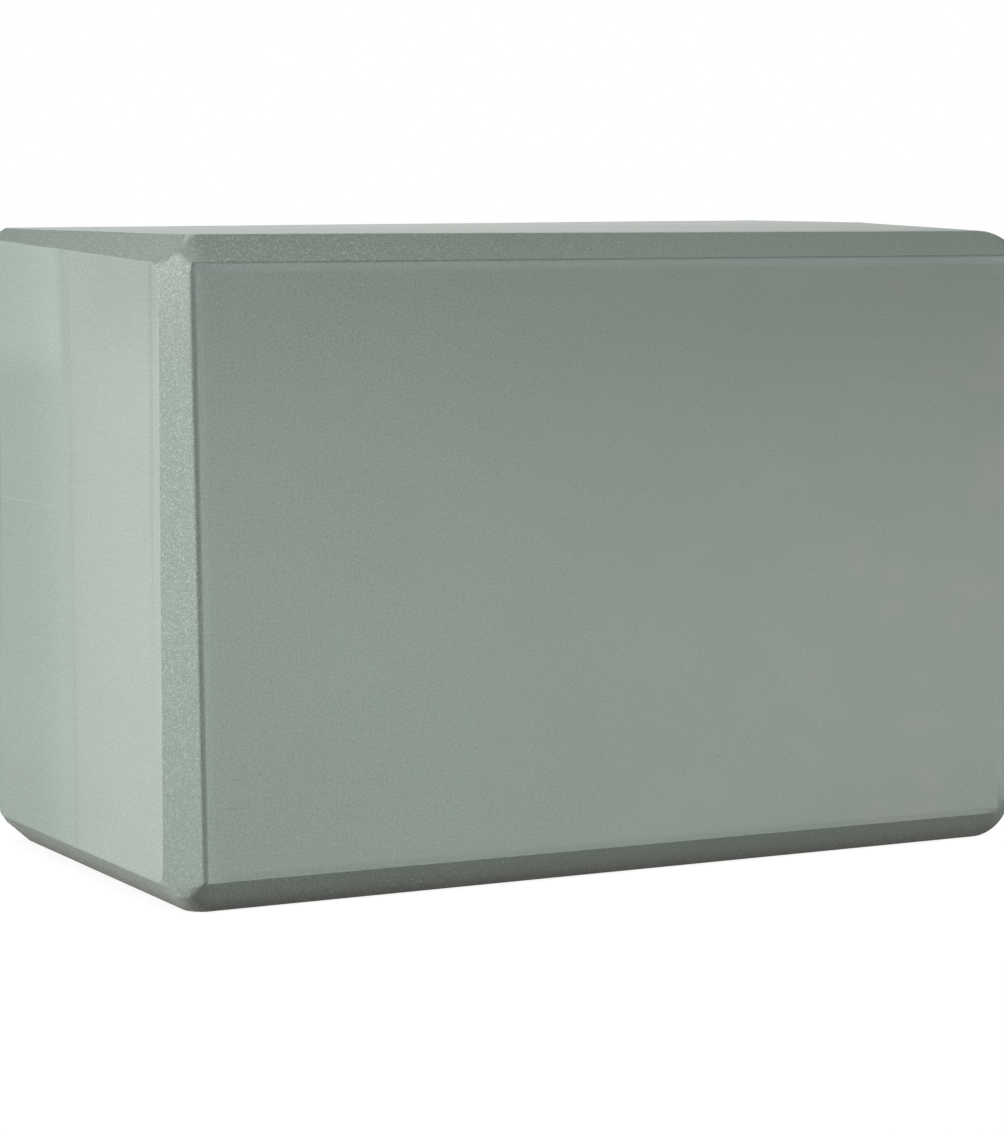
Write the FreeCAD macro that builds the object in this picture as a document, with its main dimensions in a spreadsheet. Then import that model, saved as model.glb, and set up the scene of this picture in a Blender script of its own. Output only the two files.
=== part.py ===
import FreeCAD, Part
import math
import os
import Sketcher

# Firm foam yoga block, standing on one of its long narrow faces. Two equal sheets of closed-cell
# foam are glued face to face with a thin film of adhesive, trimmed to a brick together, and routed
# with a 45 degree bevel along all twelve edges. The router leaves a quirk, a narrow rounded groove,
# where the bevel meets each large face.
#
# Millimetres. +X runs along the length, -Y is the front, +Z is up, and the origin is the middle of
# the base. Every piece is drawn about the middle of the glue line and then lifted onto the base.

# The driving dimensions: name, size, and what it measures.
DIMENSIONS = [
    ("block_length", 225, "length of the block"),
    ("block_height", 150, "height of the block as it stands"),
    ("sheet_thickness", 60, "thickness of one foam sheet"),
    ("film_thickness", 0.2, "thickness of the adhesive between the sheets"),
    ("edge_bevel", 6.4, "leg of the bevel along every edge"),
    ("edge_softness", 1.2, "radius that rounds the edges of the bevels"),
    ("quirk_inset", 0.4, "from the bevel's inner edge to the middle of the quirk"),
    ("quirk_radius", 1.6, "radius of the quirk's round bottom"),
    ("quirk_depth", 0.6, "depth of the quirk below the large face"),
    ("quirk_corner", 3, "radius of the quirk's line at the corners of the face"),
    ("shoulder_radius", 1.0, "radius of the large face where it rolls into the quirk"),
]

# Places on a line or arc of a sketch. A sketch's own origin is the start of its level axis, number -1.
START, END, CENTRE = range(1, 4)
ORIGIN = (-1, START)

# Two points closer than this are the same point, and a cut smaller than this is no cut.
SAME_PLACE = 1e-5
LEAST_CUT = 1e-3

doc = FreeCAD.newDocument("yoga_block")
sizes = doc.addObject("Spreadsheet::Sheet", "sizes")
for row, (alias, value, meaning) in enumerate(DIMENSIONS, start=1):
    sizes.set(f"A{row}", alias)
    sizes.set(f"B{row}", str(value))
    sizes.set(f"C{row}", meaning)
    sizes.setAlias(f"B{row}", alias)
doc.recompute()

# Formulas that more than one feature is bound to.
HALF_LENGTH = "sizes.block_length / 2"
HALF_HEIGHT = "sizes.block_height / 2"
SHEET_DEPTH = "sizes.sheet_thickness"
BEVEL = "sizes.edge_bevel"
SOFTNESS = "sizes.edge_softness"
QUIRK_ACROSS = HALF_LENGTH + " - sizes.edge_bevel - sizes.quirk_inset"
QUIRK_UP = HALF_HEIGHT + " - sizes.edge_bevel - sizes.quirk_inset"
QUIRK_OUT = SHEET_DEPTH + " + sizes.quirk_radius - sizes.quirk_depth"

# The block's outer planes: the side of the origin that each lies on, the formula of its distance
# from there, and that distance as first drawn.
LEFT = (-1, HALF_LENGTH, sizes.block_length / 2)
RIGHT = (1, HALF_LENGTH, sizes.block_length / 2)
BOTTOM = (-1, HALF_HEIGHT, sizes.block_height / 2)
TOP = (1, HALF_HEIGHT, sizes.block_height / 2)
LARGE_FACE = (-1, SHEET_DEPTH, sizes.sheet_thickness)


def new_sketch(body, name, plane_role):
    """Start a sketch on one of the body's own origin planes."""
    plane = next(item for item in body.Origin.OriginFeatures if item.Role == plane_role)
    sketch = body.newObject("Sketcher::SketchObject", name)
    sketch.AttachmentSupport = [(plane, "")]
    sketch.MapMode = "FlatFace"
    return sketch


def draw_polygon(sketch, corners):
    """Draw straight lines round the corners, join them up and return the lines' numbers."""
    points = [FreeCAD.Vector(across, up, 0) for across, up in corners]
    lines = []
    for start, end in zip(points, points[1:] + points[:1]):
        lines.append(sketch.addGeometry(Part.LineSegment(start, end), False))
    for line, following in zip(lines, lines[1:] + lines[:1]):
        sketch.addConstraint(Sketcher.Constraint("Coincident", line, END, following, START))
    return lines


def tie(sketch, direction, side, inner, outer, formula):
    """Hold the outer point a formula's distance from the inner one, to the given side of it."""
    axis = "x" if direction == "DistanceX" else "y"
    drawn = abs(getattr(sketch.getPoint(*outer), axis) - getattr(sketch.getPoint(*inner), axis))
    first, second = (inner, outer) if side > 0 else (outer, inner)
    index = sketch.addConstraint(Sketcher.Constraint(direction, *first, *second, drawn))
    sketch.setExpression(f"Constraints[{index}]", formula)


def blank_outline(body):
    """The trimmed brick seen from the front: a rectangle centred on the glue line's middle."""
    sketch = new_sketch(body, "blank_outline", "XZ_Plane")
    right = sizes.block_length / 2
    top = sizes.block_height / 2
    corners = [(-right, -top), (right, -top), (right, top), (-right, top)]
    base, right_side, upper, left_side = draw_polygon(sketch, corners)
    for level in (base, upper):
        sketch.addConstraint(Sketcher.Constraint("Horizontal", level))
    for upright in (left_side, right_side):
        sketch.addConstraint(Sketcher.Constraint("Vertical", upright))
    tie(sketch, "DistanceX", 1, ORIGIN, (upper, START), HALF_LENGTH)
    tie(sketch, "DistanceY", 1, ORIGIN, (upper, START), HALF_HEIGHT)
    tie(sketch, "DistanceX", -1, ORIGIN, (base, START), HALF_LENGTH)
    tie(sketch, "DistanceY", -1, ORIGIN, (base, START), HALF_HEIGHT)
    return sketch


def router_pass(body, name, plane_role, edges):
    """Bevel the straight edges that stand square to one origin plane.

    Each edge shows as a corner in the sketch and is given by the two outer planes that meet there.
    The cut is a triangle with its square corner on that edge.
    """
    before = body.Shape.Volume
    sketch = new_sketch(body, name + "_triangles", plane_role)
    leg = sizes.edge_bevel
    for (x_side, x_formula, x_drawn), (y_side, y_formula, y_drawn) in edges:
        edge = (x_side * x_drawn, y_side * y_drawn)
        beside = (x_side * (x_drawn - leg), y_side * y_drawn)
        below = (x_side * x_drawn, y_side * (y_drawn - leg))
        level_leg, slope, upright_leg = draw_polygon(sketch, [edge, beside, below])
        sketch.addConstraint(Sketcher.Constraint("Horizontal", level_leg))
        sketch.addConstraint(Sketcher.Constraint("Vertical", upright_leg))
        tie(sketch, "DistanceX", x_side, ORIGIN, (level_leg, START), x_formula)
        tie(sketch, "DistanceY", y_side, ORIGIN, (level_leg, START), y_formula)
        tie(sketch, "DistanceX", x_side, (slope, START), (level_leg, START), BEVEL)
        tie(sketch, "DistanceY", y_side, (slope, END), (level_leg, START), BEVEL)
    cut = body.newObject("PartDesign::Pocket", name)
    cut.Profile = sketch
    cut.Type = "ThroughAll"
    cut.SideType = "Symmetric"
    doc.recompute()
    confirm_cut(body, name, before)


def confirm_cut(body, name, before):
    """Stop if a cut took no foam away."""
    if body.Shape.Volume > before - LEAST_CUT:
        raise RuntimeError(f"{body.Label}: {name} removed nothing")


def round_edges(body, name, edges, formula):
    """Round edges of the body's present shape, which are given by their numbers."""
    base = body.Tip
    fillet = body.newObject("PartDesign::Fillet", name)
    fillet.Base = (base, [f"Edge{number}" for number in edges])
    fillet.setExpression("Radius", formula)
    doc.recompute()


def edges_off_planes(shape, depths):
    """Numbers of the edges that don't lie in any of the planes at these depths along Y."""
    free = []
    for number, edge in enumerate(shape.Edges, start=1):
        box = edge.BoundBox
        in_plane = [max(abs(box.YMin - depth), abs(box.YMax - depth)) < SAME_PLACE for depth in depths]
        if not any(in_plane):
            free.append(number)
    return free


def trim_block(body, thickness, side_type):
    """Cut the brick's outline through one layer and bevel the four edges that cross the layers."""
    blank = body.newObject("PartDesign::Pad", "blank")
    blank.Profile = blank_outline(body)
    blank.SideType = side_type
    blank.setExpression("Length", thickness)
    doc.recompute()
    crossing_edges = [(end, level) for end in (LEFT, RIGHT) for level in (BOTTOM, TOP)]
    router_pass(body, "crossing_edges_pass", "XZ_Plane", crossing_edges)


def quirk_line(body):
    """Path of the cutter's centre round the large face: a rounded rectangle from its top middle."""
    sketch = new_sketch(body, "quirk_line", "XZ_Plane")
    sketch.setExpression("AttachmentOffset.Base.z", QUIRK_OUT)
    margin = sizes.edge_bevel + sizes.quirk_inset
    right = sizes.block_length / 2 - margin
    top = sizes.block_height / 2 - margin
    corner = sizes.quirk_corner
    upright = FreeCAD.Vector(0, 0, 1)

    def point(across, up):
        return FreeCAD.Vector(across, up, 0)

    def line(start, end):
        return sketch.addGeometry(Part.LineSegment(start, end), False)

    def arc(across, up, first_quarter):
        circle = Part.Circle(point(across, up), upright, corner)
        turn = math.pi / 2
        return sketch.addGeometry(
            Part.ArcOfCircle(circle, first_quarter * turn, (first_quarter + 1) * turn), False)

    inner_right = right - corner
    inner_top = top - corner
    top_left = line(point(0, top), point(-inner_right, top))
    corners = [arc(-inner_right, inner_top, 1)]
    left_side = line(point(-right, inner_top), point(-right, -inner_top))
    corners.append(arc(-inner_right, -inner_top, 2))
    base = line(point(-inner_right, -top), point(inner_right, -top))
    corners.append(arc(inner_right, -inner_top, 3))
    right_side = line(point(right, -inner_top), point(right, inner_top))
    corners.append(arc(inner_right, inner_top, 0))
    top_right = line(point(inner_right, top), point(0, top))

    for piece in range(top_left, top_right):
        sketch.addConstraint(Sketcher.Constraint("Tangent", piece, END, piece + 1, START))
    sketch.addConstraint(Sketcher.Constraint("Coincident", top_right, END, top_left, START))
    sketch.addConstraint(Sketcher.Constraint("Vertical", *ORIGIN, top_left, START))
    for level in (top_left, base, top_right):
        sketch.addConstraint(Sketcher.Constraint("Horizontal", level))
    for side in (left_side, right_side):
        sketch.addConstraint(Sketcher.Constraint("Vertical", side))
    for other in corners[1:]:
        sketch.addConstraint(Sketcher.Constraint("Equal", corners[0], other))
    radius = sketch.addConstraint(Sketcher.Constraint("Radius", corners[0], corner))
    sketch.setExpression(f"Constraints[{radius}]", "sizes.quirk_corner")
    tie(sketch, "DistanceX", -1, ORIGIN, (left_side, START), QUIRK_ACROSS)
    tie(sketch, "DistanceX", 1, ORIGIN, (right_side, START), QUIRK_ACROSS)
    tie(sketch, "DistanceY", -1, ORIGIN, (base, START), QUIRK_UP)
    tie(sketch, "DistanceY", 1, ORIGIN, (top_left, START), QUIRK_UP)
    return sketch


def quirk_cutter(body):
    """Section of the cutter: a circle at the start of its path, sunk into the large face."""
    sketch = new_sketch(body, "quirk_cutter", "YZ_Plane")
    out = sizes.sheet_thickness + sizes.quirk_radius - sizes.quirk_depth
    up = sizes.block_height / 2 - sizes.edge_bevel - sizes.quirk_inset
    drawn = Part.Circle(FreeCAD.Vector(-out, up, 0), FreeCAD.Vector(0, 0, 1), sizes.quirk_radius)
    circle = sketch.addGeometry(drawn, False)
    radius = sketch.addConstraint(Sketcher.Constraint("Radius", circle, sizes.quirk_radius))
    sketch.setExpression(f"Constraints[{radius}]", "sizes.quirk_radius")
    tie(sketch, "DistanceX", -1, ORIGIN, (circle, CENTRE), QUIRK_OUT)
    tie(sketch, "DistanceY", 1, ORIGIN, (circle, CENTRE), QUIRK_UP)
    return sketch


def cut_quirk(body):
    """Sweep the round cutter along the line between the bevels and the large face."""
    before = body.Shape.Volume
    path = quirk_line(body)
    cutter = quirk_cutter(body)
    doc.recompute()
    quirk = body.newObject("PartDesign::SubtractivePipe", "quirk")
    quirk.Profile = cutter
    quirk.Spine = (path, [f"Edge{number}" for number in range(1, len(path.Shape.Edges) + 1)])
    doc.recompute()
    confirm_cut(body, "quirk", before)


def large_face_border(shape):
    """Numbers of the edges round the flat of the large outer face."""
    facing = [face for face in shape.Faces if abs(face.BoundBox.YLength) < SAME_PLACE]
    outermost = min(face.BoundBox.YMin for face in facing)
    flat = max((face for face in facing if face.BoundBox.YMin < outermost + SAME_PLACE),
               key=lambda face: face.Area)
    border = flat.OuterWire.Edges
    return [number for number, edge in enumerate(shape.Edges, start=1)
            if any(edge.isSame(other) for other in border)]


def foam_sheet(label):
    """One foam sheet with its glued side on the XZ plane and its large face towards -Y."""
    body = doc.addObject("PartDesign::Body", label)
    trim_block(body, SHEET_DEPTH, "One side")
    router_pass(body, "long_edges_pass", "YZ_Plane", [(LARGE_FACE, BOTTOM), (LARGE_FACE, TOP)])
    router_pass(body, "short_edges_pass", "XY_Plane", [(LEFT, LARGE_FACE), (RIGHT, LARGE_FACE)])
    glued_side = 0
    round_edges(body, "soft_edges", edges_off_planes(body.Shape, [glued_side]), SOFTNESS)
    cut_quirk(body)
    round_edges(body, "shoulder", large_face_border(body.Shape), "sizes.shoulder_radius")
    body.Label = label
    body.setExpression("Placement.Base.z", HALF_HEIGHT)
    return body


front = foam_sheet("front_foam_sheet")
front.setExpression("Placement.Base.y", "-sizes.film_thickness / 2")

back = foam_sheet("back_foam_sheet")
back.Placement.Rotation = FreeCAD.Rotation(FreeCAD.Vector(0, 0, 1), 180)
back.setExpression("Placement.Base.y", "sizes.film_thickness / 2")

film = doc.addObject("PartDesign::Body", "bond_film")
trim_block(film, "sizes.film_thickness", "Symmetric")
film_sides = [-sizes.film_thickness / 2, sizes.film_thickness / 2]
round_edges(film, "soft_edges", edges_off_planes(film.Shape, film_sides), SOFTNESS)
film.Label = "bond_film"
film.setExpression("Placement.Base.z", HALF_HEIGHT)

doc.recompute()
pieces = [front, back, film]
for item in doc.Objects:
    if "Invalid" in item.State or "Error" in item.State:
        raise RuntimeError(f"{item.Label} failed: {item.State}")
for piece in pieces:
    shape = piece.Shape
    if shape.isNull() or not shape.isValid() or len(shape.Solids) != 1:
        raise RuntimeError(f"{piece.Label} is not one sound solid")

os.makedirs("parts", exist_ok=True)
for piece in pieces:
    piece.Shape.exportStep(f"parts/{piece.Label}.step")
    box = piece.Shape.optimalBoundingBox()
    print(f"{piece.Label}: {box.XLength:.2f} x {box.YLength:.2f} x {box.ZLength:.2f} mm, "
          f"volume {piece.Shape.Volume:.1f} mm3")
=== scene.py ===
# %% [markdown]
# Firm foam yoga block
#
# The object is a plain brick of sage green foam, glued from two thick sheets. It has no hardware at
# all, so everything that the eye reads is edge work and skin: a routed 45 degree bevel along every
# edge, a fine crease round each large face, and a matte skin full of tiny closed cells. The frame
# holds the true sizes, and this lesson dresses it.

import itertools
import math

import bmesh
import bpy
from mathutils import Matrix, Vector


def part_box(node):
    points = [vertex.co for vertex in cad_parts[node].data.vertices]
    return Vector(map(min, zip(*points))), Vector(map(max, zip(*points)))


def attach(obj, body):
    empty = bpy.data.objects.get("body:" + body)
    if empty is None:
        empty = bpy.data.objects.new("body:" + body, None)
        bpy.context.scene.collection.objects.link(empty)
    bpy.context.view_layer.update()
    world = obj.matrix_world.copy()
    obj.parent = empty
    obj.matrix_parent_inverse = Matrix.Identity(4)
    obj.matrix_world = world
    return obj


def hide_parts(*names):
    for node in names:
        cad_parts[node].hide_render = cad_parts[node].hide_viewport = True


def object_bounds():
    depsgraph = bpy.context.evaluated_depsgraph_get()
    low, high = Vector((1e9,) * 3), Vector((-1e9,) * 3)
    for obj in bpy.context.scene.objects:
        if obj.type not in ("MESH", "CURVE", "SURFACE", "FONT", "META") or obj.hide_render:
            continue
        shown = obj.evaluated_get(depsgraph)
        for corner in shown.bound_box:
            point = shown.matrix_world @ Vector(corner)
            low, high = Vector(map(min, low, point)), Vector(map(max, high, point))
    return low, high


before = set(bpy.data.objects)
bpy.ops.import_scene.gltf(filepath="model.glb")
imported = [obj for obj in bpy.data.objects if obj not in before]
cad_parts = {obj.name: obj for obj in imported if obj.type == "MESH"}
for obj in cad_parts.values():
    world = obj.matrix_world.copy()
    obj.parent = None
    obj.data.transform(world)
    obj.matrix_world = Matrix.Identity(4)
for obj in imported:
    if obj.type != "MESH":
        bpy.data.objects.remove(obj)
cad_low, cad_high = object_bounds()
MM = 0.001
print("frame nodes", sorted(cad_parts), "box", tuple(cad_low), tuple(cad_high))

# %% [markdown]
# The camera comes first, because every later choice is judged through it. The block was seen from a
# little above its top and well round to the left, so that one end, one large face and a sliver of
# the top show. The angles and the long lens were worked out from the block's own edges in the
# picture. With so long a lens the block's edges stay almost parallel.

# %% Camera
VIEW_YAW = math.radians(27.08)
VIEW_PITCH = math.radians(6.03)
VIEW_ROLL = math.radians(-0.17)
CAMERA_PLACE = (-0.4151, -0.8098, 0.1632)
PICTURE_HEIGHT = 1132
FOCAL_PIXELS = 3737

bpy.context.scene.view_settings.view_transform = "Standard"
camera_data = bpy.data.cameras.new("camera")
camera = bpy.data.objects.new("camera", camera_data)
bpy.context.scene.collection.objects.link(camera)
bpy.context.scene.camera = camera
camera_data.lens = FOCAL_PIXELS / PICTURE_HEIGHT * camera_data.sensor_width
camera.location = CAMERA_PLACE
turn_to_front = Matrix.Rotation(-VIEW_YAW, 3, "Z")
tip_down = Matrix.Rotation(math.pi / 2 - VIEW_PITCH, 3, "X")
roll = Matrix.Rotation(VIEW_ROLL, 3, "Z")
camera.rotation_euler = (turn_to_front @ tip_down @ roll).to_euler()
print("camera lens", round(camera_data.lens, 1), "mm")

# %% [markdown]
# Every edge is worked from the block's six sides, so these come first. A side is named by its axis
# and its direction, and small helpers say where it lies and which way is out. Places could also be
# typed in as numbers, but then they wouldn't follow the frame.

# %% The block's sides
# How far the lip beside the crease stands out from the large face before it is rounded over.
LIP_RISE = 0.14 * MM
block_low = cad_low - Vector((0, LIP_RISE, 0))
block_high = cad_high + Vector((0, LIP_RISE, 0))

# An outer plane of the block is its axis and the side of the middle that it lies on.
LEFT, RIGHT = (0, -1), (0, 1)
FRONT, BACK = (1, -1), (1, 1)
BASE, TOP = (2, -1), (2, 1)


def outer(plane):
    """Where an outer plane of the block lies along its axis."""
    axis, side = plane
    return (block_high if side > 0 else block_low)[axis]


def out_of(plane, length=1):
    """A vector of that length, straight out of an outer plane."""
    axis, side = plane
    arrow = Vector()
    arrow[axis] = side * length
    return arrow


def outer_plane(plane):
    """A point and the outward normal of one of the block's six sides."""
    point = Vector()
    point[plane[0]] = outer(plane)
    return point, out_of(plane)


print("block with its lips", tuple(block_high - block_low))

# %% [markdown]
# The foam edge was shaped with a router bit that cuts a 45 degree bevel and leaves a crease where it
# meets the large face. On this block the bevels aren't even: along most edges the reach drifts by
# less than two millimetres, and by four along the left edge of the top. Each pass is therefore
# written down with a reach at both of its ends. A learner could use the Bevel tool with one width
# everywhere, but the result would look cast, not cut.

# %% The router's passes
# Each pass has the two planes that meet in the edge, the cut's reach on the first one at the low
# and the high end of the edge, and its reach on the second one, in millimetres.
PASSES = [
    (FRONT, LEFT, 6.95, 5.25, 6.5),
    (FRONT, RIGHT, 5.3, 4.9, 6.4),
    (FRONT, BASE, 6.3, 5.2, 6.4),
    (FRONT, TOP, 5.05, 4.7, 6.4),
    (BACK, LEFT, 5.0, 5.4, 6.4),
    (BACK, RIGHT, 5.3, 4.9, 6.4),
    (BACK, BASE, 5.0, 5.3, 6.4),
    (BACK, TOP, 5.3, 4.9, 6.4),
    (LEFT, BASE, 7.0, 6.4, 6.4),
    (LEFT, TOP, 6.5, 2.5, 5.4),
    (RIGHT, BASE, 8.0, 8.0, 6.5),
    (RIGHT, TOP, 6.6, 6.2, 6.4),
]


def pass_plane(first, second, reach_low, reach_high, second_reach):
    """A point and the outward normal of the cut that one router pass makes."""
    run = 3 - first[0] - second[0]
    low_end, high_end = Vector(), Vector()
    for end, limit in ((low_end, block_low), (high_end, block_high)):
        end[first[0]] = outer(first)
        end[second[0]] = outer(second)
        end[run] = limit[run]
    low_point = low_end - out_of(second, reach_low * MM)
    high_point = high_end - out_of(second, reach_high * MM)
    far_point = (low_end + high_end) / 2 - out_of(first, second_reach * MM)
    normal = (high_point - low_point).cross(far_point - low_point).normalized()
    return low_point, normal if normal.dot(out_of(first)) > 0 else -normal


planes = {(first, second): pass_plane(first, second, *reach) for first, second, *reach in PASSES}
print("router passes", len(planes))

# %% [markdown]
# An operator works on whatever is selected in edit mode. These three helpers open a piece alone,
# pick its faces by a rule, and slice it along a plane. The slice's limit says how near a point has
# to be to count as on the plane. Blender's own value, a tenth of a millimetre, is too coarse for
# the fine facets here and would leave doubled faces.

# %% Helpers for edit mode
# A face whose normal has at least this much in a direction looks straight that way.
SQUARE_ON = 0.995
SLICE_LIMIT = 0.001 * MM


def edit_alone(piece):
    """Open one piece in edit mode, with every other object deselected."""
    bpy.ops.object.select_all(action="DESELECT")
    piece.select_set(True)
    bpy.context.view_layer.objects.active = piece
    bpy.ops.object.mode_set(mode="EDIT")


def pick_faces(piece, wanted):
    """Select the faces of the open piece for which wanted is true."""
    mesh = bmesh.from_edit_mesh(piece.data)
    bpy.ops.mesh.select_mode(type="FACE")
    bpy.ops.mesh.select_all(action="DESELECT")
    for item in mesh.faces:
        item.select_set(wanted(item))
    bmesh.update_edit_mesh(piece.data)


def cut(point, outward, whole=True):
    """Cut the open piece along a plane, and throw the outer part away if whole is true."""
    if whole:
        bpy.ops.mesh.select_all(action="SELECT")
    bpy.ops.mesh.bisect(plane_co=point, plane_no=outward, threshold=SLICE_LIMIT,
                        use_fill=whole, clear_outer=whole)


print("slices are exact to", SLICE_LIMIT / MM, "mm")

# %% [markdown]
# Each sheet starts as a cube of the sheet's own box, and the passes are cut off it. Slicing with a
# plane and filling the cut is what the router did, and where two passes meet at a corner the mitre
# comes by itself.

# %% Slice the bevels off a blank


def reached(face):
    """The passes that reach the sheet with this large face, or the film if it has none."""
    return {pair: plane for pair, plane in planes.items() if pair[0] in (face, LEFT, RIGHT)}


def bevelled_blank(name, node, face):
    """A cube of the piece's box with the bevels sliced off it, left open in edit mode."""
    low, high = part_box(node)
    bpy.ops.object.select_all(action="DESELECT")
    bpy.ops.mesh.primitive_cube_add(size=1)
    piece = bpy.context.active_object
    piece.name = piece.data.name = name
    edit_alone(piece)
    bpy.ops.transform.resize(value=high - low)
    bpy.ops.transform.translate(value=(high + low) / 2)
    if face:
        pick_faces(piece, lambda item: item.normal.dot(out_of(face)) > SQUARE_ON)
        bpy.ops.transform.translate(value=out_of(face, LIP_RISE))
    for point, outward in reached(face).values():
        cut(point, outward)
    return piece


print("passes on the front sheet", len(reached(FRONT)))

# %% [markdown]
# Foam has no knife edges, so the mitres and arrises are rounded by more slices, each one touching
# the cylinder that would fit into the edge. The Bevel tool would leave a three sided facet at the
# corners, and bulges where a wide rounding meets a narrow one.

# %% Round the arrises and the mitres
# Facets of a crisp and of a worn rounding, and the roundings' radii in millimetres.
FACETS = 4
WORN_FACETS = 7
ARRIS_RADIUS = 1.4
MITRE_RADIUS = 5
BASE_RADIUS = 9
HEAD_RADIUS = 9
FOOT_RADIUS = 14
WORN_ARC = 13


def round_off(first, second, radius):
    """Slice the edge between two planes into facets that touch a cylinder of that radius."""
    (first_point, first_out), (second_point, second_out) = first, second
    turn = first_out.angle(second_out)
    facets = WORN_FACETS if radius > MITRE_RADIUS else FACETS
    for step in range(1, facets):
        near = math.sin((1 - step / facets) * turn) / math.sin(turn)
        far = math.sin(step / facets * turn) / math.sin(turn)
        outward = first_out * near + second_out * far
        reach = first_point.dot(first_out) * near + second_point.dot(second_out) * far
        cut(outward * (reach + radius * MM * (1 - near - far)), outward)


def mitre_radius(first, second):
    """How round two passes meet: most at the right, where the block's corners are worn."""
    apart = set(first) ^ set(second)
    if apart == {RIGHT, BASE}:
        return FOOT_RADIUS
    if apart == {RIGHT, TOP}:
        return HEAD_RADIUS
    worn = BASE in first and BASE in second and LEFT in apart
    return BASE_RADIUS if worn else MITRE_RADIUS


def soften_corners(face):
    """Round the arrises and the mitres of the open piece, all but the rim of its large face."""
    passes = reached(face)
    for pair in passes:
        for side in pair:
            if side != face:
                worn = pair[0] == RIGHT
                round_off(passes[pair], outer_plane(side), WORN_ARC if worn else ARRIS_RADIUS)
    for first, second in itertools.combinations(passes, 2):
        rest = set(first) ^ set(second)
        if len(rest) == 2 and len({axis for axis, side in rest}) == 2:
            round_off(passes[first], passes[second], mitre_radius(first, second))


print("facets in a rounding", FACETS, "or, where worn,", WORN_FACETS)

# %% [markdown]
# Round each large face runs a quirk, the crease that the router bit leaves where the bevel meets the
# skin. The foam rolls over into it from both sides. A row of insets draws its profile, each one a
# step inwards and a step down or up, and the border turns its corners by itself. The rim outside
# the crease is a soft lip, so its edge is rounded with the Bevel tool.

# %% Inset the crease and roll the lip
CREASE_STEP = 1.4 * MM
# Steps of the crease, inwards and out of the face, in millimetres. They end lower by the lip's rise.
PROFILE = [(0.7, -0.2), (0.4, -0.17), (0.3, -0.06), (0.3, 0.04), (0.6, 0.13), (0.6, 0.09), (0.5, 0.03)]
LIP_ROUND = 0.4 * MM
LIP_STEPS = 4
HAIR = 0.01 * MM


def inset_crease(piece, face):
    """Press the crease into the border of the large face."""
    pick_faces(piece, lambda item: item.normal.dot(out_of(face)) > SQUARE_ON)
    for inwards, rise in PROFILE:
        bpy.ops.mesh.inset(thickness=inwards * MM, depth=rise * MM)


def roll_lip(piece, face):
    """Round the rim between the bevels and the crease."""
    mesh = bmesh.from_edit_mesh(piece.data)
    bpy.ops.mesh.select_mode(type="EDGE")
    bpy.ops.mesh.select_all(action="DESELECT")
    for edge in mesh.edges:
        edge.select_set(all(abs(vertex.co.y) > abs(outer(face)) - HAIR for vertex in edge.verts))
    bmesh.update_edit_mesh(piece.data)
    bpy.ops.mesh.bevel(offset=LIP_ROUND, segments=LIP_STEPS)


depths = list(itertools.accumulate(rise for inwards, rise in PROFILE))
print("crease", round(-min(depths), 2), "mm deep below its lip")

# %% [markdown]
# Along the base and the top of the photographed face the router went deeper and took the lip away,
# so the bevel runs straight into the crease. Two more slices do the same. Each one starts just
# inside the bevel's outer arris, so the base and the top keep their size.

# %% The deeper passes along the base and the top
DEEP_PASSES = [(FRONT, BASE, 8.2, 7.15, 6.0), (FRONT, TOP, 6.3, 5.95, 6.0)]


def deepen():
    """Cut the lip off along the base and the top of the open front sheet."""
    for deep_pass in DEEP_PASSES:
        cut(*pass_plane(*deep_pass))


print("deeper passes", len(DEEP_PASSES))

# %% [markdown]
# The side faces meet the bevels in a fine double line: a shallow dip that the bit's shank rubbed into
# the foam, and a bead between the dip and the bevel. Three cuts parallel to the bevel mark the dip
# on the side face, and the middle one is pushed in.

# %% Rub the dips into the side faces
# The two borders of a dip and then its middle, which is cut last and so stays selected.
DIP_OFFSETS = (2.8 * MM, 6.0 * MM, 4.5 * MM)
DIP_DEPTH = 0.2 * MM


def rub_dips(piece, face):
    """Press a shallow line into each side face, beside the bevel of the large face."""
    for pair, (point, outward) in reached(face).items():
        for side_face in pair:
            if pair[0] != face or side_face == face:
                continue
            across = outward - outward.project(out_of(side_face))
            for offset in DIP_OFFSETS:
                pick_faces(piece, lambda item: item.normal.dot(out_of(side_face)) > SQUARE_ON)
                cut(point - outward * offset * across.length, outward, whole=False)
            bpy.ops.transform.translate(value=out_of(side_face, -DIP_DEPTH))
            mesh = bmesh.from_edit_mesh(piece.data)
            rub = mesh.verts.layers.float.get("rub") or mesh.verts.layers.float.new("rub")
            for vertex in mesh.verts:
                if vertex.select:
                    vertex[rub] = 1
            bmesh.update_edit_mesh(piece.data)
    bpy.ops.object.mode_set(mode="OBJECT")


print("dips", DIP_DEPTH / MM, "mm deep")

# %% [markdown]
# The finish changes at the crease, and the crease follows the drifting passes. So each vertex stores
# how far it lies inside the crease, in millimetres, as an attribute that the material reads later.
# Numbers below 0 are outside it. The dips above store their own middle line in the same way.

# %% Store the distance from the crease


def store_crease(piece, face):
    """Write each vertex's distance inside the crease, measured along the large face."""
    inside = piece.data.attributes.new("inside", "FLOAT", "POINT")
    borders = [planes[pair] for pair in planes if pair[0] == face]
    for vertex in piece.data.vertices:
        on_face = Vector((vertex.co.x, outer(face), vertex.co.z))
        gaps = []
        for point, outward in borders:
            across = outward - outward.project(out_of(face))
            gaps.append((point - on_face).dot(outward) / across.length)
        inside.data[vertex.index].value = (min(gaps) - CREASE_STEP) / MM


print("crease", CREASE_STEP / MM, "mm inside the bevel")

# %% [markdown]
# Both sheets go through the same steps in the order of a workshop: trim and bevel, press the crease,
# soften the corners, rub the dips. The back sheet could be a mirrored copy of the front one, but its
# edges have passes of their own, so it is cut by those. Only the front sheet has the deeper passes.

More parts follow.
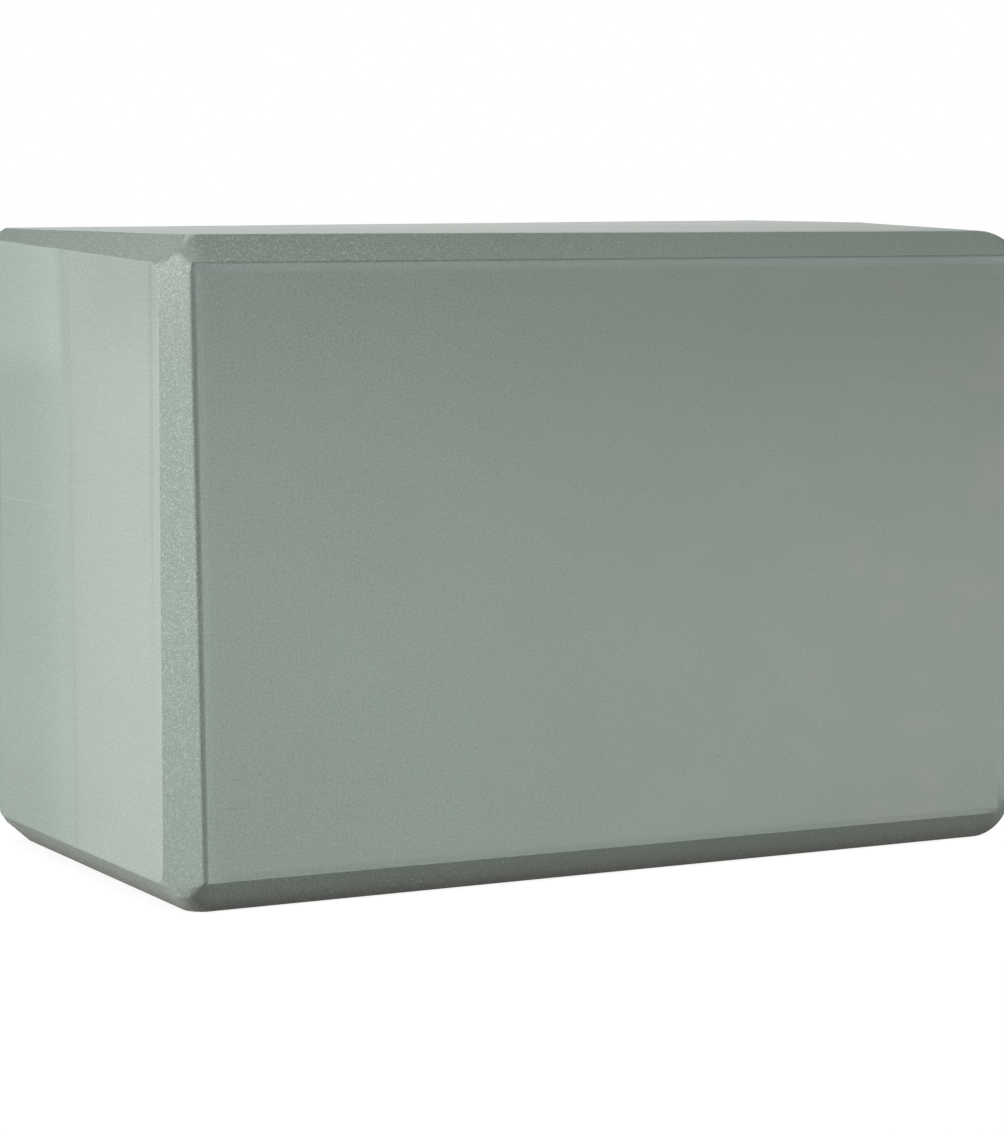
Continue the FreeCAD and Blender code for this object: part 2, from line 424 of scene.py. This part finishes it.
# %% Make both sheets
SHEETS = [("front_foam", "front_foam_sheet", FRONT), ("back_foam", "back_foam_sheet", BACK)]
sheets = {}
for name, node, face in SHEETS:
    piece = bevelled_blank(name, node, face)
    inset_crease(piece, face)
    roll_lip(piece, face)
    soften_corners(face)
    if face == FRONT:
        deepen()
    rub_dips(piece, face)
    sheets[name] = piece
    print(name, "has", len(piece.data.polygons), "faces")

# %% [markdown]
# A flat face has no points to bend at. A net of slices a few millimetres apart gives each sheet
# enough of them, and points that the earlier cuts left very close together are merged first.
# Subdivide would also add points, but it would keep the long thin shapes of the faces.

# %% Weave a net
NET_STEP = 4 * MM
SLIVER = 0.05 * MM


def weave_net(piece):
    """Cut the whole piece along planes a few millimetres apart on every axis."""
    edit_alone(piece)
    bpy.ops.mesh.select_all(action="SELECT")
    bpy.ops.mesh.remove_doubles(threshold=SLIVER)
    corners = [vertex.co.copy() for vertex in bmesh.from_edit_mesh(piece.data).verts]
    for axis in range(3):
        normal = Vector((axis == 0, axis == 1, axis == 2))
        low = min(corner[axis] for corner in corners)
        high = max(corner[axis] for corner in corners)
        count = round((high - low) / NET_STEP)
        for step in range(1, count):
            bpy.ops.mesh.select_all(action="SELECT")
            cut(normal * (low + (high - low) * step / count), normal, whole=False)
    bpy.ops.object.mode_set(mode="OBJECT")


print("net of", NET_STEP / MM, "mm")

# %% [markdown]
# In the photo the front sheet's top corner on the right is lower than the rest of the top. A lattice
# of eight points round the sheet lowers that one corner and carries the rest along. Moving the
# corner's own points would leave a dent instead of a slope.

# %% Sag a corner
CORNER_SAG = 1.6 * MM


def sag_corner(piece, node):
    """Lower the top right corner of the large face with a lattice of eight points."""
    low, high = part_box(node)
    cage_data = bpy.data.lattices.new("sag_cage")
    cage_data.interpolation_type_u = "KEY_LINEAR"
    cage_data.interpolation_type_v = "KEY_LINEAR"
    cage_data.interpolation_type_w = "KEY_LINEAR"
    cage = bpy.data.objects.new("sag_cage", cage_data)
    bpy.context.scene.collection.objects.link(cage)
    cage.location = (low + high) / 2
    cage.scale = high - low
    lowered = Vector((0, 0, -CORNER_SAG / (high.z - low.z)))
    for point in cage_data.points:
        right, front, top = point.co.x > 0, point.co.y < 0, point.co.z > 0
        if right and front and top:
            point.co_deform = point.co + lowered
    sag = piece.modifiers.new("sag", "LATTICE")
    sag.object = cage
    bpy.context.view_layer.update()
    bpy.ops.object.modifier_apply(modifier=sag.name)
    bpy.data.objects.remove(cage)


print("corner sags by", CORNER_SAG / MM, "mm")

# %% [markdown]
# Hand work leaves nothing quite flat. A Displace modifier with a cloud texture presses each sheet in
# by up to a tenth of a millimetre. The glued rim and the base are held still by a vertex group, so
# the sheets stay joined and stand flat. Weighted normals then keep the large flats from looking
# pillowy beside the fine facets.

# %% Press the surface and finish both sheets
WOBBLE = 0.1 * MM
WOBBLE_SIZE = 0.03
HELD_BAND = 3 * MM
HELD_SHARE = 0.3
SMOOTH_ANGLE = math.radians(35)


def wobble(piece):
    """Press the surface in by a soft cloud pattern, less and less towards the rim and the base."""
    free = piece.vertex_groups.new(name="free")
    for vertex in piece.data.vertices:
        away = min(abs(vertex.co.y), vertex.co.z) / HELD_BAND
        free.add([vertex.index], min(max(away - HELD_SHARE, 0), 1), "REPLACE")
    clouds = bpy.data.textures.new("clouds", "CLOUDS")
    clouds.noise_scale = WOBBLE_SIZE
    press = piece.modifiers.new("press", "DISPLACE")
    press.texture = clouds
    press.texture_coords = "LOCAL"
    press.strength = WOBBLE
    press.mid_level = 1.0
    press.vertex_group = free.name
    bpy.ops.object.modifier_apply(modifier=press.name)


for name, node, face in SHEETS:
    piece = sheets[name]
    weave_net(piece)
    store_crease(piece, face)
    if face == FRONT:
        sag_corner(piece, node)
    wobble(piece)
    bpy.ops.object.shade_smooth_by_angle(angle=SMOOTH_ANGLE)
    flat = piece.modifiers.new("flat", "WEIGHTED_NORMAL")
    flat.keep_sharp = True
    bpy.ops.object.modifier_apply(modifier=flat.name)
    print(name, "now has", len(piece.data.polygons), "faces")

# %% [markdown]
# Shader maths is easier to read as sums than as a web of nodes. This small class holds one output
# socket: adding, multiplying or subtracting two of them, or one and a number, adds the Math node.
# Every other node is added with its node method, settings first and then the values or links.

# %% A socket that can be used in sums


class Wire:
    """One output socket of a shader tree."""

    def __init__(self, tree, socket=None):
        self.tree = tree
        self.socket = socket

    def node(self, kind, settings=None, values=None, out=0):
        """Add a node, and return the wire of one of its outputs."""
        made = self.tree.nodes.new("ShaderNode" + kind)
        for name, setting in (settings or {}).items():
            setattr(made, name, setting)
        for name, value in (values or {}).items():
            if isinstance(value, Wire):
                self.tree.links.new(value.socket, made.inputs[name])
            else:
                made.inputs[name].default_value = value
        return Wire(self.tree, made.outputs[out])

    def math(self, operation, *others):
        """A Math node on this wire."""
        return self.node("Math", {"operation": operation}, dict(enumerate((self, *others))))

    def __add__(self, other):
        return self.math("ADD", other)

    def __sub__(self, other):
        return self.math("SUBTRACT", other)

    def __mul__(self, other):
        return self.math("MULTIPLY", other)

    def __rsub__(self, other):
        return self.node("Math", {"operation": "SUBTRACT"}, {0: other, 1: self})

    __radd__ = __add__
    __rmul__ = __mul__

    def step(self, low, high):
        """Rise smoothly from 0 at low to 1 at high, or fall where low is the larger."""
        spread = {"Value": self, "From Min": low, "From Max": high}
        return self.node("MapRange", {"interpolation_type": "SMOOTHSTEP"}, spread)


print("made the class", Wire.__name__)

# %% [markdown]
# The foam is one material for both sheets. Closed cell foam has two faces. Where it was sliced from
# the bun and never touched again it has a fine, even skin of pinprick cells. Where the router cut
# through the cells they lie open: coarser, rougher and a little darker, because light is lost in
# them. The shader tells the two apart by the direction that the surface faces, since every routed
# surface leans. All patterns run on Object coordinates in millimetres.

# %% Foam: where is what
foam = bpy.data.materials.new("sage_foam")
foam.use_nodes = True
tree = foam.node_tree
start = Wire(tree)
place = start.node("TexCoord", out="Object")
facing = start.node("TexCoord", out="Normal")
mm = place.node("VectorMath", {"operation": "SCALE"}, {0: place, "Scale": 1000})
x, y, z = [mm.node("SeparateXYZ", values={0: mm}, out=axis) for axis in "XYZ"]
lean_x, lean_y, lean_z = [facing.node("SeparateXYZ", values={0: facing}, out=axis).math("ABSOLUTE")
                          for axis in "XYZ"]
inside = start.node("Attribute", {"attribute_name": "inside"}, out="Fac")
rub = start.node("Attribute", {"attribute_name": "rub"}, out="Fac")

flatness = lean_x.math("MAXIMUM", lean_y).math("MAXIMUM", lean_z)
out_from_glue = y.math("ABSOLUTE")
near_face = out_from_glue.step(56.5, 58)
lip = near_face * inside.step(0.15, -0.25)
routed = flatness.step(0.965, 0.86).math("MAXIMUM", lip) * (1 - near_face * inside.step(-0.2, 0.1))
large_face = near_face * inside.step(-0.2, 0.2)
strip = large_face * inside.step(2.5, 0.9) * z.step(9, 15)
crease = near_face * inside.step(-1.1, -0.15) * inside.step(0.65, 0.05)
side_face = 1 - near_face
sawn = side_face * (1 - routed)
arris = side_face * flatness.step(0.985, 0.95) * flatness.step(0.84, 0.9)
print("foam masks", len(tree.nodes), "nodes")

# %% [markdown]
# The skin's grain is noise of about half a millimetre with darker pinpricks from a Voronoi pattern.
# The routed grain is coarser, with pale sparks where a cell wall stands up and catches the light;
# it is strongest at the left, where the bit tore the foam most. On the ends, the top and the base
# the saw left faint streaks across the block's thickness, so there the noise is stretched along Y.

# %% Foam: grain, pores and streaks


def noise(scale, detail=2.0, rough=0.5, vector=mm):
    """Noise that is centred on 0, with a scale in cells per millimetre."""
    settings = {"Vector": vector, "Scale": scale, "Detail": detail, "Roughness": rough}
    return start.node("TexNoise", values=settings) - 0.5


HAIR_TURNS = (0.75, -0.6)
torn = x.step(60, -90) * 0.6 + 0.4
skin_grain = noise(1.7, 3.0, 0.7)
pinprick_cells = start.node("TexVoronoi", values={"Vector": mm, "Scale": 0.95})
pinpricks = pinprick_cells.step(0.3, 0.12) * noise(0.8, 0.0).step(-0.02, 0.12)
open_cells = start.node("TexVoronoi", values={"Vector": mm, "Scale": 1.9})
sparks = noise(2.4, 1.0).step(0.06, 0.24)
hairs = []
for turn in HAIR_TURNS:
    turned = start.node("VectorRotate", {"rotation_type": "Y_AXIS"}, {"Vector": mm, "Angle": turn})
    drawn = start.node("VectorMath", {"operation": "MULTIPLY"}, {0: turned, 1: (0.28, 1.0, 2.6)})
    hairs.append(noise(0.9, 1.0, 0.5, drawn).step(0.13, 0.22))
fibres = hairs[0].math("MAXIMUM", hairs[1]) * z.step(139, 142) * x.step(-30, -80) * lean_y.step(0.35, 0.55)
routed_grain = (open_cells - 0.45) * 0.35 + noise(2.6, 2.0, 0.7) + sparks * 0.5
across = start.node("VectorMath", {"operation": "MULTIPLY"}, {0: mm, 1: (1.3, 0.06, 1.3)})
streaks = noise(1.0, 3.0, 0.6, across)
clouds = noise(0.03, 3.0, 0.55)
broad = noise(0.011, 1.0, 0.5)
print("foam grain", len(tree.nodes), "nodes")

# %% [markdown]
# Handling leaves its own marks, and light and shade are painted in beside them. The right of the front
# face has soft paler smears, the arrises are worn pale, and glue darkens the line where the two sheets
# meet. The upper left bevel has pale wear at its tip and is painted lighter towards its top, a painted
# highlight, and so are the top arris and the front of the lower end bevel. Painted shade darkens the
# base bevel and the foot of the large face towards the floor, the end bevels, the upper part of the
# dips and the top of the near half of the sawn faces, while the crease is painted lighter at its left
# end. The back half of the sawn faces is painted paler at the top, a painted reflection, and the large
# face is painted lighter across its middle height. Each mark is a mask here, and the next cell adds
# them up.

# %% Foam: marks of use and painted light
smear_shape = start.node("VectorMath", {"operation": "MULTIPLY"}, {0: mm, 1: (1.0, 1.0, 1.35)})
smears = noise(0.034, 2.0, 0.5, smear_shape).step(0.0, 0.16) * x.step(5, 75) * large_face
stain_middle = z.step(105, 145) * 4.5 + 1
stain_gap = (y - stain_middle).math("ABSOLUTE")
stain = stain_gap.step(5.5, 0.5) * sawn * (z.step(105, 140) + 0.7)
glue_shade = out_from_glue.step(0.9, 0.1) * side_face
# Painted reflection: the back half of the sawn faces is painted paler near the top.
painted_reflection = y.step(2, 8) * z.step(114, 125) * sawn * x.step(112, 111)
# The left bevel: painted lighter towards its top as a highlight, with pale wear at its tip.
left_bevel = routed * x.step(-102, -106) * lean_y.step(0.35, 0.6)
# The end bevels: painted shade darkens them, the upper one most, and a painted highlight pales the front of
# the lower one.
end_bevel = routed * lean_x.step(0.35, 0.55) * lean_z.step(0.35, 0.55)
# Painted shade: the routed bevels are painted darker towards the floor.
bevel_foot_shade = routed * z.step(9, 1)
# Painted light: the large face is painted lighter across its middle height, so darker under its top.
painted_middle_light = large_face * z.step(25, 75) * z.step(135, 100)
end_face = sawn * lean_x.step(0.5, 0.9)
# Painted shade: the dips are painted darker in their upper part.
upper_dip_shade = rub * z.step(40, 110)
scratch_gap = (z - 85.8 + y * 0.01).math("ABSOLUTE")
scratch = scratch_gap.step(0.45, 0.1) * y.step(5, 9) * sawn * x.step(-110, -112)
print("foam marks", len(tree.nodes), "nodes")

# %% [markdown]
# Grain, wear with painted light, and dirt with painted shade are sums of the masks, each with its
# share of the base colour: wear and painted light make the foam paler, and dirt and painted shade
# make it darker. Painting a texture by hand would also do, but a sum can be tuned one mark at a time.

# %% Foam: add up the tone
cut_grain = 1 - left_bevel * z.step(60, 15) * 0.3 + bevel_foot_shade * x.step(20, 90) * 0.9
grain = (skin_grain * (torn * 0.72 + 0.04) * (1 - routed) + routed_grain * 0.7 * routed * torn * cut_grain
         - pinpricks * 0.13 * (1 - routed) * (1 - strip) + streaks * 0.1 * sawn)
# Paler with wear: smears, the scratch, fibres and the arrises. Painted light: the border strip lighter at
# its ends and darker along its top and bottom, a highlight on the top arris, up the left bevel and at the
# front of the lower end bevel, the crease lighter at its left end, a reflection at the top of the back
# half, and a lighter middle on the large face.
wear_and_light = (smears * 0.04 + strip * (x.step(92, 104) * 0.1 + x.step(-104, -96) * 0.12 - 0.08)
        + arris * (z.step(147.5, 149) * 0.2 + 0.07)
        + left_bevel * (z.step(0, 150) * 0.18 + z.step(125, 147) * 0.1)
        + crease * x.step(-98, -104) * 0.16 + painted_reflection * 0.15 + scratch * 0.08
        + painted_middle_light * 0.04 + fibres * routed * 0.36
        + end_bevel * z.step(10, 2) * y.step(-44, -54) * 0.22)
# Darker in its own colour: the open cells, the glue beside the joint and the stains. Painted shade: the
# foot of the routed bevels and of the large face towards the floor, the left bevel below its top, the end
# bevels, the upper part of the dips and the top of the near half of the sawn faces. Also darker: the back
# sheet's sawn faces, the left of the top face, and the sawn faces towards the bottom.
dirt_and_shade = (routed * 0.15 + bevel_foot_shade * 0.11 + routed * z.step(4.5, 0) * 0.2 + left_bevel * 0.165 + glue_shade * 0.06
        + large_face * z.step(28, 8) * x.step(0, 90) * 0.06
        + end_bevel * (z.step(60, 100) * 0.12 + 0.07) + stain * 0.06 + upper_dip_shade * 0.14
        + sawn * (z.step(149, 149.8) * x.step(-10, -80) * 0.08
                  + y.step(-4, 30) * 0.1 + z.step(116, 142) * (y.step(4, -30) * 0.1 + 0.02)
                  + z.step(32, 12) * (y.step(-10, 20) * 0.03 + 0.04)))
tone = 1 + grain + clouds * 0.07 + broad * 0.05 + wear_and_light - dirt_and_shade
print("foam tone", len(tree.nodes), "nodes")

# %% [markdown]
# The base colour is a sage green, and a few other tints are mixed over it: grey where hands smear
# it, chalky on sawn faces, brownish where the foot of the bevels is painted into shade, a painted
# cool highlight along the top of the border strip, and pale on the cell walls that stand up, as
# painted glints, and up the left bevel, as a painted highlight. The tone from the cell before then
# multiplies the tint. Gloss falls where the cells are open, and a Bump node makes the cells show in
# grazing light. The same masks feed all three, so that they agree.

# %% Foam: colour, gloss and relief
SAGE = (0.306, 0.37, 0.323, 1)
SMEAR_GREY = (0.335, 0.36, 0.335, 1)
CHALK = (0.325, 0.37, 0.333, 1)
FOOT_SHADE_TINT = (0.325, 0.345, 0.3, 1)
PALE = (0.35, 0.375, 0.36, 1)
COOL = (0.306, 0.36, 0.343, 1)
BUMP_DEPTH = 0.12 * MM


def blend(amount, below, above):
    """Mix two colours by a mask."""
    return start.node("Mix", {"data_type": "RGBA"}, {0: amount, 6: below, 7: above}, out=2)


tint = blend(smears * 0.6 + x.step(0, 100) * large_face * 0.35, SAGE, SMEAR_GREY)
# Painted highlight: the top of the border strip is tinted cool.
tint = blend(strip * z.step(100, 140) * 0.6, tint, COOL)
tint = blend(sawn * (1 - end_face * y.step(-30, 20)), tint, CHALK)
# Painted shade: the foot of the bevels is tinted brownish as well as darkened.
tint = blend(bevel_foot_shade, tint, FOOT_SHADE_TINT)
# Pale: painted glints on the standing cell walls, and the painted highlight up the left bevel.
tint = blend(sparks * routed * 0.7 + left_bevel * z.step(110, 147) * 0.5, tint, PALE)
tone_colour = start.node("CombineXYZ", values={0: tone, 1: tone, 2: tone})
colour = start.node("VectorMath", {"operation": "MULTIPLY"}, {0: tint, 1: tone_colour})
roughness = 0.62 + routed * 0.2 - strip * 0.1 + skin_grain * 0.1 - smears * 0.05
height = (skin_grain * 0.3 * (1 - routed) - pinpricks * 0.3 * (1 - routed)
          + (open_cells * 0.5 + sparks * 0.4) * routed * torn + streaks * 0.12 * sawn)
relief = start.node("Bump", values={"Strength": 0.7, "Distance": BUMP_DEPTH, "Height": height})
shader = tree.nodes["Principled BSDF"]
tree.links.new(colour.socket, shader.inputs["Base Color"])
tree.links.new(roughness.socket, shader.inputs["Roughness"])
tree.links.new(relief.socket, shader.inputs["Normal"])
print("foam material", len(tree.nodes), "nodes")

# %% [markdown]
# The glue between the sheets is a film thinner than a sheet of card. It shows only as a line, but it
# gets a real finish: dull dark green, blotched where the roller left more or less of it.

# %% Glue line
GLUE_THIN = (0.22, 0.265, 0.235, 1)
GLUE_THICK = (0.28, 0.33, 0.29, 1)
glue = bpy.data.materials.new("glue_line")
glue.use_nodes = True
glue_start = Wire(glue.node_tree)
glue_place = glue_start.node("TexCoord", out="Object")
blotches = glue_start.node("TexNoise", values={"Vector": glue_place, "Scale": 180, "Detail": 3})
glue_mix = {0: blotches, 6: GLUE_THIN, 7: GLUE_THICK}
glue_colour = glue_start.node("Mix", {"data_type": "RGBA"}, glue_mix, out=2)
glue_roughness = 0.45 + blotches * 0.2
glue_shader = glue.node_tree.nodes["Principled BSDF"]
glue.node_tree.links.new(glue_colour.socket, glue_shader.inputs["Base Color"])
glue.node_tree.links.new(glue_roughness.socket, glue_shader.inputs["Roughness"])
film = bevelled_blank("glue_film", "bond_film", None)
soften_corners(None)
bpy.ops.object.mode_set(mode="OBJECT")
film.data.materials.append(glue)
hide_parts("bond_film")
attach(film, "root")
print("glue film has", len(film.data.polygons), "faces")

# %% [markdown]
# Each sheet stands in for its CAD solid, which stays behind for collisions. Both are firm foam.

# %% Tie the sheets to the frame
for name, node, face in SHEETS:
    piece = sheets[name]
    piece.data.materials.append(foam)
    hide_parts(node)
    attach(piece, "root")
    print(name, "stands for", node)

# %% [markdown]
# The block was photographed on white. The floor and the world look white to the camera and in
# reflections, through Light Path, and still light the block no more than a plain room would. The
# floor adds a little true shading to its white, so the block keeps its shadow.

# %% White floor
FLOOR_DROP = 0.3 * MM
FLOOR_SIZE = 12
FLOOR_GREY = (0.25, 0.25, 0.25, 1)
FLOOR_GLOW = 0.88


def seen_directly(start):
    """1 for the camera's rays and for reflected or refracted ones, 0 for rays that carry light."""
    camera_ray = start.node("LightPath", out="Is Camera Ray")
    glossy_ray = start.node("LightPath", out="Is Glossy Ray")
    through_ray = start.node("LightPath", out="Is Transmission Ray")
    return camera_ray.math("MAXIMUM", glossy_ray).math("MAXIMUM", through_ray)


bpy.ops.object.select_all(action="DESELECT")
bpy.ops.mesh.primitive_plane_add(size=FLOOR_SIZE, location=(0, 0, -FLOOR_DROP))
floor = bpy.context.active_object
floor.name = "floor"
pale = bpy.data.materials.new("pale_floor")
pale.use_nodes = True
floor_start = Wire(pale.node_tree)
plain = floor_start.node("BsdfDiffuse", values={"Color": FLOOR_GREY})
glow = floor_start.node("Emission", values={"Color": (1, 1, 1, 1), "Strength": FLOOR_GLOW})
glowing = floor_start.node("AddShader", values={0: plain, 1: glow})
floor_look = floor_start.node("MixShader", values={0: seen_directly(floor_start), 1: plain, 2: glowing})
pale.node_tree.links.new(floor_look.socket, pale.node_tree.nodes["Material Output"].inputs["Surface"])
floor.data.materials.append(pale)
print("floor", FLOOR_SIZE, "m wide")

# %% [markdown]
# The world does the same as the floor: white where it is seen, and a dim even light where it only
# lights the block.

# %% White world
ROOM_LIGHT = 0.3
world = bpy.data.worlds.new("studio")
bpy.context.scene.world = world
world.use_nodes = True
sky = Wire(world.node_tree)
room = sky.node("Background", values={"Color": (1, 1, 1, 1), "Strength": ROOM_LIGHT})
white = sky.node("Background", values={"Color": (1, 1, 1, 1), "Strength": 1.0})
look = sky.node("MixShader", values={0: seen_directly(sky), 1: room, 2: white})
world.node_tree.links.new(look.socket, world.node_tree.nodes["World Output"].inputs["Surface"])
print("room light", ROOM_LIGHT)

# %% [markdown]
# Four soft lamps shape the block as in the photo. A long window at the left lights the end, with a
# strip beside it for the near half, and a lamp behind lights the top. The camera's side is left
# rather dark. A strip with a honeycomb grid, which is what the spread value stands for, points low
# at the front, so the large face is brighter at its foot than under its top edge.

# %% Lamps


def soft_lamp(name, place, aim, width, height, power, spread=180):
    """An area lamp at a place, turned towards its aim."""
    lamp_data = bpy.data.lights.new(name, "AREA")
    lamp_data.shape = "RECTANGLE"
    lamp_data.size = width
    lamp_data.size_y = height
    lamp_data.energy = power
    lamp_data.spread = math.radians(spread)
    lamp = bpy.data.objects.new(name, lamp_data)
    lamp.location = place
    lamp.rotation_euler = (Vector(aim) - Vector(place)).to_track_quat("-Z", "Y").to_euler()
    bpy.context.scene.collection.objects.link(lamp)


MIDDLE = (0, 0, 0.075)
soft_lamp("left_window", (-1.4, 0.0, 0.15), MIDDLE, 0.9, 0.3, 10.4)
soft_lamp("left_strip", (-1.2, -0.3, 0.2), (-0.1125, -0.075, 0.04), 0.12, 0.5, 0.205, 26)
soft_lamp("back_lamp", (0.4, 1.25, 0.9), MIDDLE, 1.0, 0.6, 7.6)
soft_lamp("front_strip", (-0.15, -1.2, 0.8), (0.0, -0.06, 0.012), 1.2, 0.1, 0.46, 18)
